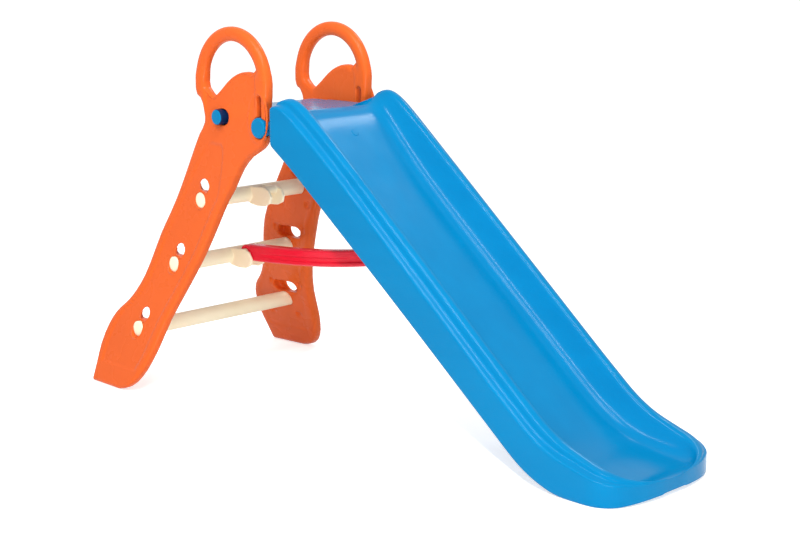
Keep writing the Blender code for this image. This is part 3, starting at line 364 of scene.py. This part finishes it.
def painted_shade_rim(name, plain, dark, edge):
    """A copy of a plastic with painted shade beyond a distance from BUTTON's axis: a navy rim that
    stands in for the shadow in the button's hole.
    """
    finish = plain.copy()
    finish.name = name
    tree = finish.node_tree
    shader = tree.nodes["Principled BSDF"]
    place = next(node for node in tree.nodes if node.type == "TEX_COORD")
    apart = tree.nodes.new("ShaderNodeVectorMath")
    apart.operation = "MULTIPLY_ADD"
    apart.inputs[1].default_value = (1.0, 0.0, 1.0)
    apart.inputs[2].default_value = (-FOOT_X - BUTTON[0], 0.0, -BUTTON[1])
    length = tree.nodes.new("ShaderNodeVectorMath")
    length.operation = "LENGTH"
    tree.links.new(place.outputs["Object"], apart.inputs[0])
    tree.links.new(apart.outputs["Vector"], length.inputs[0])
    share = link_range(tree, length.outputs["Value"], 0.0, 1.0, (edge - BUTTON_PAINTED_SHADE_FADE, edge))
    blend = tree.nodes.new("ShaderNodeMix")
    blend.data_type = "RGBA"
    plain_tone = shader.inputs["Base Color"].links[0].from_socket
    tree.links.new(share, blend.inputs["Factor"])
    tree.links.new(plain_tone, blend.inputs["A"])
    blend.inputs["B"].default_value = (*dark, 1.0)
    tree.links.new(blend.outputs["Result"], shader.inputs["Base Color"])
    return finish


def brushed_metal(name, tone, roughness):
    """Steel with fine brush lines round the piece's Y axis."""
    finish = bpy.data.materials.new(name)
    finish.use_nodes = True
    tree = finish.node_tree
    shader = tree.nodes["Principled BSDF"]
    place = tree.nodes.new("ShaderNodeTexCoord")
    lines = link_noise(tree, place, BRUSH_LINES, BRUSH_STRETCH)
    factor = link_range(tree, lines, 0.0, 1.0)
    darker = tuple(value * BRUSH_DARKER for value in tone)
    tree.links.new(link_tone(tree, factor, tone, darker), shader.inputs["Base Color"])
    gloss = link_range(tree, lines, roughness * BRUSH_GLOSS[0], roughness * BRUSH_GLOSS[1])
    tree.links.new(gloss, shader.inputs["Roughness"])
    skin = link_bump(tree, lines, BRUSH_STRENGTH, BRUSH_DEPTH)
    tree.links.new(skin, shader.inputs["Normal"])
    shader.inputs["Metallic"].default_value = 1.0
    return finish


def ladder_axis(z):
    """X of the line through the rungs at a height."""
    top, middle, bottom = RUNG_LINE
    lean = (top[0] - bottom[0]) / (top[1] - bottom[1])
    return middle[0] + lean * (z - middle[1])


def splay(x, z):
    """Half the distance between the panels' middle planes."""
    above = z - SPLAY_HEIGHT - SPLAY_TOE * (x - ladder_axis(z))
    if above >= SPLAY_BLEND:
        return PANEL_SPACING
    if above <= -SPLAY_BLEND:
        return PANEL_SPACING - SPLAY_SLOPE * above
    return PANEL_SPACING + SPLAY_SLOPE * (SPLAY_BLEND - above) ** 2 / (4 * SPLAY_BLEND)


def leg_edges(piece):
    """Front and rear X of the panel at each height, read from its own skin."""
    edges = {}
    for vert in piece.data.vertices:
        row = round(vert.co.z / SOFT_STEP)
        low, high = edges.get(row, (vert.co.x, vert.co.x))
        edges[row] = (min(low, vert.co.x), max(high, vert.co.x))
    return edges


def leg_hollow(x, z, edges):
    """How far a point lies in the shallow field that runs down the leg, from 0 to 1."""
    rear, front = edges[round(z / SOFT_STEP)]
    inside = min(x - rear, front - x) - LEG_BORDER
    aside = max(0.0, abs(x - ladder_axis(z) - FOOT_X) - LEG_TOP_FLAT)
    below = LEG_HOLLOW_TOP - z - LEG_TOP_CURVE * aside ** 2
    above = z - LEG_HOLLOW_FOOT
    return ease(inside / SOFT_STEP) * ease(below / SOFT_STEP) * ease(above / SOFT_STEP)


def grip_hollow(x, z):
    """How far a point lies in the thinner web between the hand loop's arms, from 0 to 1."""
    inner = GRIP_RADIUS - GRIP_TUBE / 2
    across = x - FOOT_X - GRIP_CENTRE[0]
    up = z - GRIP_CENTRE[1]
    inside = inner - (math.hypot(across, up) if up > 0.0 else abs(across))
    return ease(inside / SOFT_STEP) * ease((z - GRIP_HOLLOW_FOOT) / GRIP_HOLLOW_FADE)


def round_grip(x, z, off):
    """Radius of a point in the hand loop, how far it is rounded there, and its size in the tube."""
    up = z - GRIP_CENTRE[1]
    radius = math.hypot(x - FOOT_X - GRIP_CENTRE[0], up)
    u = (radius - GRIP_RADIUS) / (GRIP_TUBE / 2)
    v = off / (PANEL_THICKNESS / 2)
    size = (abs(u) ** GRIP_SQUARENESS + abs(v) ** GRIP_SQUARENESS) ** (1 / GRIP_SQUARENESS)
    share = ease((up - GRIP_ROUND_START) / GRIP_ROUND_FADE) if abs(u) < GRIP_REACH else 0.0
    return radius, share, size


def shape_panel(piece, side):
    """Sink the shallow fields and round the hand loop, vertex by vertex."""
    edges = leg_edges(piece)
    normals = [vert.normal.copy() for vert in piece.data.vertices]
    for vert, normal in zip(piece.data.vertices, normals):
        x, y, z = vert.co
        middle = side * splay(x - FOOT_X, z)
        off = y - middle
        facing = ease((abs(normal.y) - FACING_START) / FACING_FADE)
        outer = 1.0 if normal.y * side > 0.0 else INNER_SHARE
        sink = (LEG_HOLLOW * leg_hollow(x, z, edges) + GRIP_HOLLOW * grip_hollow(x, z)) * outer
        vert.co.y -= math.copysign(sink * facing, normal.y)
        radius, share, size = round_grip(x, z, off)
        if share > 0.0 and size > 1.0:
            pull = 1.0 + share * (1.0 / size - 1.0)
            ring = GRIP_RADIUS + (radius - GRIP_RADIUS) * pull
            vert.co.x = FOOT_X + GRIP_CENTRE[0] + (x - FOOT_X - GRIP_CENTRE[0]) * ring / radius
            vert.co.z = GRIP_CENTRE[1] + (z - GRIP_CENTRE[1]) * ring / radius
            vert.co.y = middle + off * pull


def open_button_hole(piece, side):
    """Draw the softened wall of the lock button's hole back to its full size."""
    radius = BUTTON_RADIUS + RUNNING_GAP
    web = PANEL_SPACING + PANEL_THICKNESS / 2 - BUTTON_HOLE_DEPTH + SKIN_INSET
    for vert in piece.data.vertices:
        if vert.co.y * side < web:
            continue
        along = vert.co.x - FOOT_X - BUTTON[0]
        across = along - max(0.0, min(BUTTON_HOLE_LONGER, along))
        up = vert.co.z - BUTTON[1]
        apart = math.hypot(across, up)
        if radius - BUTTON_HOLE_SOFTENED < apart < radius:
            vert.co.x += across * (radius / apart - 1.0)
            vert.co.z += up * (radius / apart - 1.0)


def make_panel(side, finish):
    """A ladder panel with soft edges, shallow fields and a round hand loop."""
    node = "ladder_panel_left" if side > 0 else "ladder_panel_right"
    panel = copy_of(node, node.replace("ladder", "moulded"))
    soften(panel, PANEL_VOXEL, PANEL_PASSES)
    shape_panel(panel, side)
    finish_step(panel, "SMOOTH", factor=SMOOTHING, iterations=PANEL_LAST_PASSES)
    open_button_hole(panel, side)
    hand_over(panel, finish, node)


def height_at(line, x):
    """Smooth curve through a line's points: slopes from the neighbours, level on the ground."""
    if x <= line[0][0]:
        return line[0][1]
    if x >= line[-1][0]:
        return line[-1][1]
    k = max(i for i in range(len(line) - 1) if line[i][0] <= x)

    def slope(i):
        """Slope at a point of the line, between the points on both sides of it."""
        low = line[max(i - 1, 0)]
        high = line[min(i + 1, len(line) - 1)]
        return (high[1] - low[1]) / (high[0] - low[0])

    (start_x, start_z), (end_x, end_z) = line[k], line[k + 1]
    span = end_x - start_x
    t = (x - start_x) / span
    level = start_z == end_z
    start = 0.0 if level or start_z == 0.0 else slope(k)
    end = 0.0 if level or end_z == 0.0 else slope(k + 1)
    a = 2 * t ** 3 - 3 * t ** 2 + 1
    b = t ** 3 - 2 * t ** 2 + t
    c = -2 * t ** 3 + 3 * t ** 2
    d = t ** 3 - t ** 2
    return a * start_z + b * span * start + c * end_z + d * span * end


def slope_at(line, x):
    """Slope of a line's curve, taken over a short reach on both sides."""
    rise = height_at(line, x + SLOPE_REACH) - height_at(line, x - SLOPE_REACH)
    return rise / (2 * SLOPE_REACH)


def half_width(x):
    """Half the chute's width: flared at the top, rounded in plan at the exit lip."""
    flare = CHUTE_TOP_FLARE * max(0.0, min(1.0, (TOP_FLARE_START - x) / TOP_FLARE_RUN))
    inset = REAR_EDGE_INSET * max(0.0, CHUTE_REAR_X + REAR_EDGE_RUN - x) / REAR_EDGE_RUN
    start = FRONT_X - LIP_ROUND
    if x <= start:
        return CHUTE_HALF_WIDTH + flare - inset
    t = min((x - start) / LIP_ROUND, LIP_TURN_END)
    return CHUTE_HALF_WIDTH * (1.0 - t ** LIP_SQUARENESS) ** (1 / LIP_SQUARENESS)


def chute_section(x):
    """The chute's closed outline in the upright plane at x, from its middle outwards and round."""
    crest = height_at(CREST_LINE, x)
    floor = height_at(FLOOR_LINE, x)
    bottom = height_at(BOTTOM_LINE, x)
    steep = math.hypot(1.0, slope_at(FLOOR_LINE, x))
    under = max(floor - WALL * steep, bottom + LEAST_SKIN)
    if x < CHUTE_REAR_X + END_WALL or x > FRONT_X - LIP_SOLID:
        under = bottom + LEAST_SKIN
    rise = crest - floor
    drop = min(RIM_SLOPE_CUT, rise * RIM_CUT_SHARE) * min(steep, RIM_CUT_STEEPEST)
    outer = CHUTE_HALF_WIDTH
    inner = outer - SIDE_WALL
    shape = [(y, floor + rise * share) for y, share in CHANNEL_SHAPE]
    shape += [(y, crest - drop * share) for y, share in RIM_SHAPE]
    outside = shape[-1][1]
    foot = min(FOOT_ROUND, (outside - bottom) * FOOT_ROUND_SHARE)
    shape += [(outer, outside - RIM_CORNER), (outer, (outside + bottom) / 2)]
    shape += [(y, bottom + foot * share) for y, share in FOOT_SHAPE]
    shape += [
        (inner + CORNER_CUT, bottom + CORNER_RISE),
        (inner, bottom + foot / 2),
        (inner, (under + bottom) / 2),
        (inner - CORNER_CUT, under - CORNER_RISE),
        (inner - CORNER_RUN, under),
        (UNDERSIDE_TURN, under),
        (0.0, under),
    ]
    scale = half_width(x) / CHUTE_HALF_WIDTH
    right = [(x, y * scale, z) for y, z in shape]
    left = [(x, -y * scale, z) for y, z in reversed(shape[1:-1])]
    return right + left


def chute_stations():
    """X of each ring of the chute's skin, close together where the outline turns."""
    wall_end = CHUTE_REAR_X + END_WALL
    lip_start = FRONT_X - LIP_ROUND
    lip_solid = FRONT_X - LIP_SOLID
    rear = [CHUTE_REAR_X, CHUTE_REAR_X + REAR_EDGE_STEP, CHUTE_REAR_X + REAR_EDGE_RUN]
    walls = [wall_end - RING_STEP, wall_end, lip_solid, lip_solid + RING_STEP]
    even = [start + step * i for start, step, count in (RUN_RINGS, BEND_RINGS)
            for i in range(count)]
    lip = [lip_start + LIP_ROUND * math.sin(math.radians(angle)) for angle in LIP_RINGS]
    return sorted(rear + walls + list(TOP_RINGS) + even + lip)


def skin_over(name, sections):
    """A closed skin: a grid laid over a row of rings, its seam merged and its ends filled."""
    bpy.ops.object.select_all(action="DESELECT")
    rings = [list(section) + [section[0]] for section in sections]
    bpy.ops.mesh.primitive_grid_add(x_subdivisions=len(rings) - 1,
                                    y_subdivisions=len(rings[0]) - 1)
    piece = bpy.context.object
    piece.name = name
    for vert in piece.data.vertices:
        ring = rings[vert.index % len(rings)]
        vert.co = ring[vert.index // len(rings)]
    bpy.ops.object.mode_set(mode="EDIT")
    bpy.ops.mesh.select_all(action="SELECT")
    bpy.ops.mesh.remove_doubles(threshold=MERGE_REACH)
    bpy.ops.mesh.fill_holes(sides=0)
    bpy.ops.mesh.select_all(action="SELECT")
    bpy.ops.mesh.normals_make_consistent(inside=False)
    bpy.ops.object.mode_set(mode="OBJECT")
    return piece


def make_chute(finish):
    """The chute's channel as a new skin, and its tongue cut off the node's own shape."""
    chute = skin_over("moulded_chute", [chute_section(x) for x in chute_stations()])
    for vert in chute.data.vertices:
        vert.co.x += FOOT_X
    finish_step(chute, "SUBSURF", levels=2, render_levels=2)
    chute.data.shade_smooth()
    tongue = copy_of("slide_chute", "moulded_tongue")
    bpy.ops.object.mode_set(mode="EDIT")
    bpy.ops.mesh.select_all(action="SELECT")
    bpy.ops.mesh.bisect(plane_co=(FOOT_X + CHUTE_REAR_X + TONGUE_OVERLAP, 0.0, 0.0),
                        plane_no=(1.0, 0.0, 0.0), use_fill=True, clear_outer=True)
    bpy.ops.object.mode_set(mode="OBJECT")
    soften(tongue, TONGUE_VOXEL, TONGUE_PASSES)
    for piece in (chute, tongue):
        hand_over(piece, finish, "slide_chute")


def link_seen(tree):
    """1 for rays that look at the background: the camera's own, mirrored and passed through."""
    rays = tree.nodes.new("ShaderNodeLightPath")
    seen = rays.outputs["Is Camera Ray"]
    for kind in ("Is Glossy Ray", "Is Transmission Ray"):
        either = tree.nodes.new("ShaderNodeMath")
        either.operation = "MAXIMUM"
        tree.links.new(seen, either.inputs[0])
        tree.links.new(rays.outputs[kind], either.inputs[1])
        seen = either.outputs["Value"]
    return seen


def show_when_seen(tree, lit, seen, output):
    """Send one shader to the rays that look at the background and another to all others."""
    choice = tree.nodes.new("ShaderNodeMixShader")
    tree.links.new(link_seen(tree), choice.inputs["Fac"])
    tree.links.new(lit, choice.inputs[1])
    tree.links.new(seen, choice.inputs[2])
    tree.links.new(choice.outputs["Shader"], tree.nodes[output].inputs["Surface"])


def make_floor():
    """Pale floor that meets the background and keeps the slide's soft shadow."""
    bpy.ops.object.select_all(action="DESELECT")
    bpy.ops.mesh.primitive_plane_add(size=FLOOR_SIZE, location=(0.0, 0.0, -FLOOR_DROP))
    floor = bpy.context.object
    floor.name = "floor"
    finish = bpy.data.materials.new("pale_floor")
    finish.use_nodes = True
    tree = finish.node_tree
    shader = tree.nodes["Principled BSDF"]
    shader.inputs["Base Color"].default_value = (FLOOR_TONE, FLOOR_TONE, FLOOR_TONE, 1.0)
    shader.inputs["Roughness"].default_value = FLOOR_ROUGHNESS
    glow = tree.nodes.new("ShaderNodeEmission")
    glow.inputs["Strength"].default_value = FLOOR_GLOW
    both = tree.nodes.new("ShaderNodeAddShader")
    tree.links.new(shader.outputs["BSDF"], both.inputs[0])
    tree.links.new(glow.outputs["Emission"], both.inputs[1])
    show_when_seen(tree, shader.outputs["BSDF"], both.outputs["Shader"], "Material Output")
    floor.data.materials.append(finish)


def make_world():
    """Even white surroundings, which look plain white behind the slide."""
    world = bpy.data.worlds.new("studio")
    world.use_nodes = True
    tree = world.node_tree
    around = tree.nodes["Background"]
    around.inputs["Color"].default_value = (1.0, 1.0, 1.0, 1.0)
    around.inputs["Strength"].default_value = ROOM_LIGHT
    backdrop = tree.nodes.new("ShaderNodeBackground")
    backdrop.inputs["Color"].default_value = (1.0, 1.0, 1.0, 1.0)
    show_when_seen(tree, around.outputs["Background"], backdrop.outputs["Background"],
                   "World Output")
    bpy.context.scene.world = world


def make_lamp(name, place, target, size, power):
    """A soft square lamp that points at a target."""
    bpy.ops.object.select_all(action="DESELECT")
    bpy.ops.object.light_add(type="AREA", location=place)
    lamp = bpy.context.object
    lamp.name = name
    lamp.data.size = size
    lamp.data.energy = power
    lamp.rotation_euler = (Vector(target) - Vector(place)).to_track_quat("-Z", "Y").to_euler()
    return lamp


def make_strip(place, target, along, length, width, power):
    """A long narrow lamp that draws a thin line of light on each rounded rim."""
    lamp = make_lamp("strip", place, target, length, power)
    lamp.data.shape = "RECTANGLE"
    lamp.data.size_y = width
    back = (Vector(place) - Vector(target)).normalized()
    side = (Vector(along) - back * Vector(along).dot(back)).normalized()
    lamp.rotation_euler = Matrix((side, back.cross(side), back)).transposed().to_euler()


def make_camera():
    """The photograph's view."""
    yaw = math.radians(CAMERA_YAW)
    pitch = math.radians(CAMERA_PITCH)
    flat = math.cos(pitch)
    ahead = Vector((flat * math.cos(yaw), flat * math.sin(yaw), math.sin(pitch)))
    bpy.ops.object.select_all(action="DESELECT")
    bpy.ops.object.camera_add(location=CAMERA_PLACE)
    camera = bpy.context.object
    camera.rotation_euler = ahead.to_track_quat("-Z", "Y").to_euler()
    camera.data.lens = CAMERA_LENS
    camera.data.sensor_width = SENSOR_WIDTH
    bpy.context.scene.camera = camera


make_camera()
make_world()
make_floor()
make_lamp("key", place=(1.8, -1.2, 4.5), target=(0.0, 0.0, 0.4), size=1.6, power=95.0)
make_lamp("fill", place=(3.4, -2.4, 0.30), target=(-0.7, 0.0, 0.35), size=1.2, power=90.0)
make_lamp("far_side", place=(-0.3, 3.3, 4.2), target=(0.1, 0.0, 0.6), size=0.8, power=26.0)
make_strip(place=(0.75, -2.6, 3.6), target=(0.2, -0.2, 0.5), along=(0.764, 0.0, -0.645),
           length=3.0, width=0.10, power=95.0)
bpy.context.scene.view_settings.view_transform = "Standard"

orange = moulded_plastic("orange_moulding", tone=(0.740, 0.118, 0.018), deep=(0.720, 0.112, 0.017),
                         roughness=0.27, wave=0.0002, specular=0.14)
cream = moulded_plastic("cream_moulding", tone=(0.980, 0.890, 0.640), deep=(0.960, 0.860, 0.600),
                        roughness=0.36)
blue = moulded_plastic("blue_moulding", tone=(0.000, 0.196, 0.430), deep=(0.000, 0.183, 0.408),
                       roughness=0.17, wave=0.0003, grain=0.00001, streak=math.radians(40),
                       specular=0.08)
# The lock buttons' finish: the blue plastic with painted shade, a navy rim that stands in for the
# shadow in the hole
button_painted_shade = painted_shade_rim("button_with_painted_shade", blue, dark=(0.004, 0.020, 0.075),
                       edge=BUTTON_RADIUS - BUTTON_PAINTED_SHADE_WIDTH)
red = moulded_plastic("red_moulding", tone=(0.800, 0.013, 0.038), deep=(0.770, 0.010, 0.034),
                      roughness=0.24, specular=0.18)
grey = moulded_plastic("grey_moulding", tone=(0.120, 0.130, 0.140), deep=(0.100, 0.108, 0.118),
                       roughness=0.50)
steel = brushed_metal("bright_steel", tone=(0.560, 0.570, 0.580), roughness=0.28)

make_chute(blue)
for side in (1, -1):
    make_panel(side, orange)
for label in ("top", "middle", "bottom"):
    make_softened(label + "_rung", RUNG_VOXEL, cream)
make_softened("brace_bar", BAR_VOXEL, red)
for word in ("left", "right"):
    for label in ("top", "middle", "bottom"):
        make_softened(f"{label}_cap_{word}", SMALL_VOXEL, cream)
    make_softened("pivot_boss_" + word, SMALL_VOXEL, blue)
    # Each lock button gets the blue finish with painted shade on its rim
    dress_node("lock_button_" + word, button_painted_shade)
    for node in ("button_clip_", "lock_spring_"):
        dress_node(node + word, steel)
for node in ("brace_bracket", "water_outlet"):
    dress_node(node, blue)
for node in ("outlet_nut", "hose_inlet"):
    dress_node(node, grey)
for node in ("brace_pin", "bracket_screw_upper", "bracket_screw_lower"):
    dress_node(node, steel)
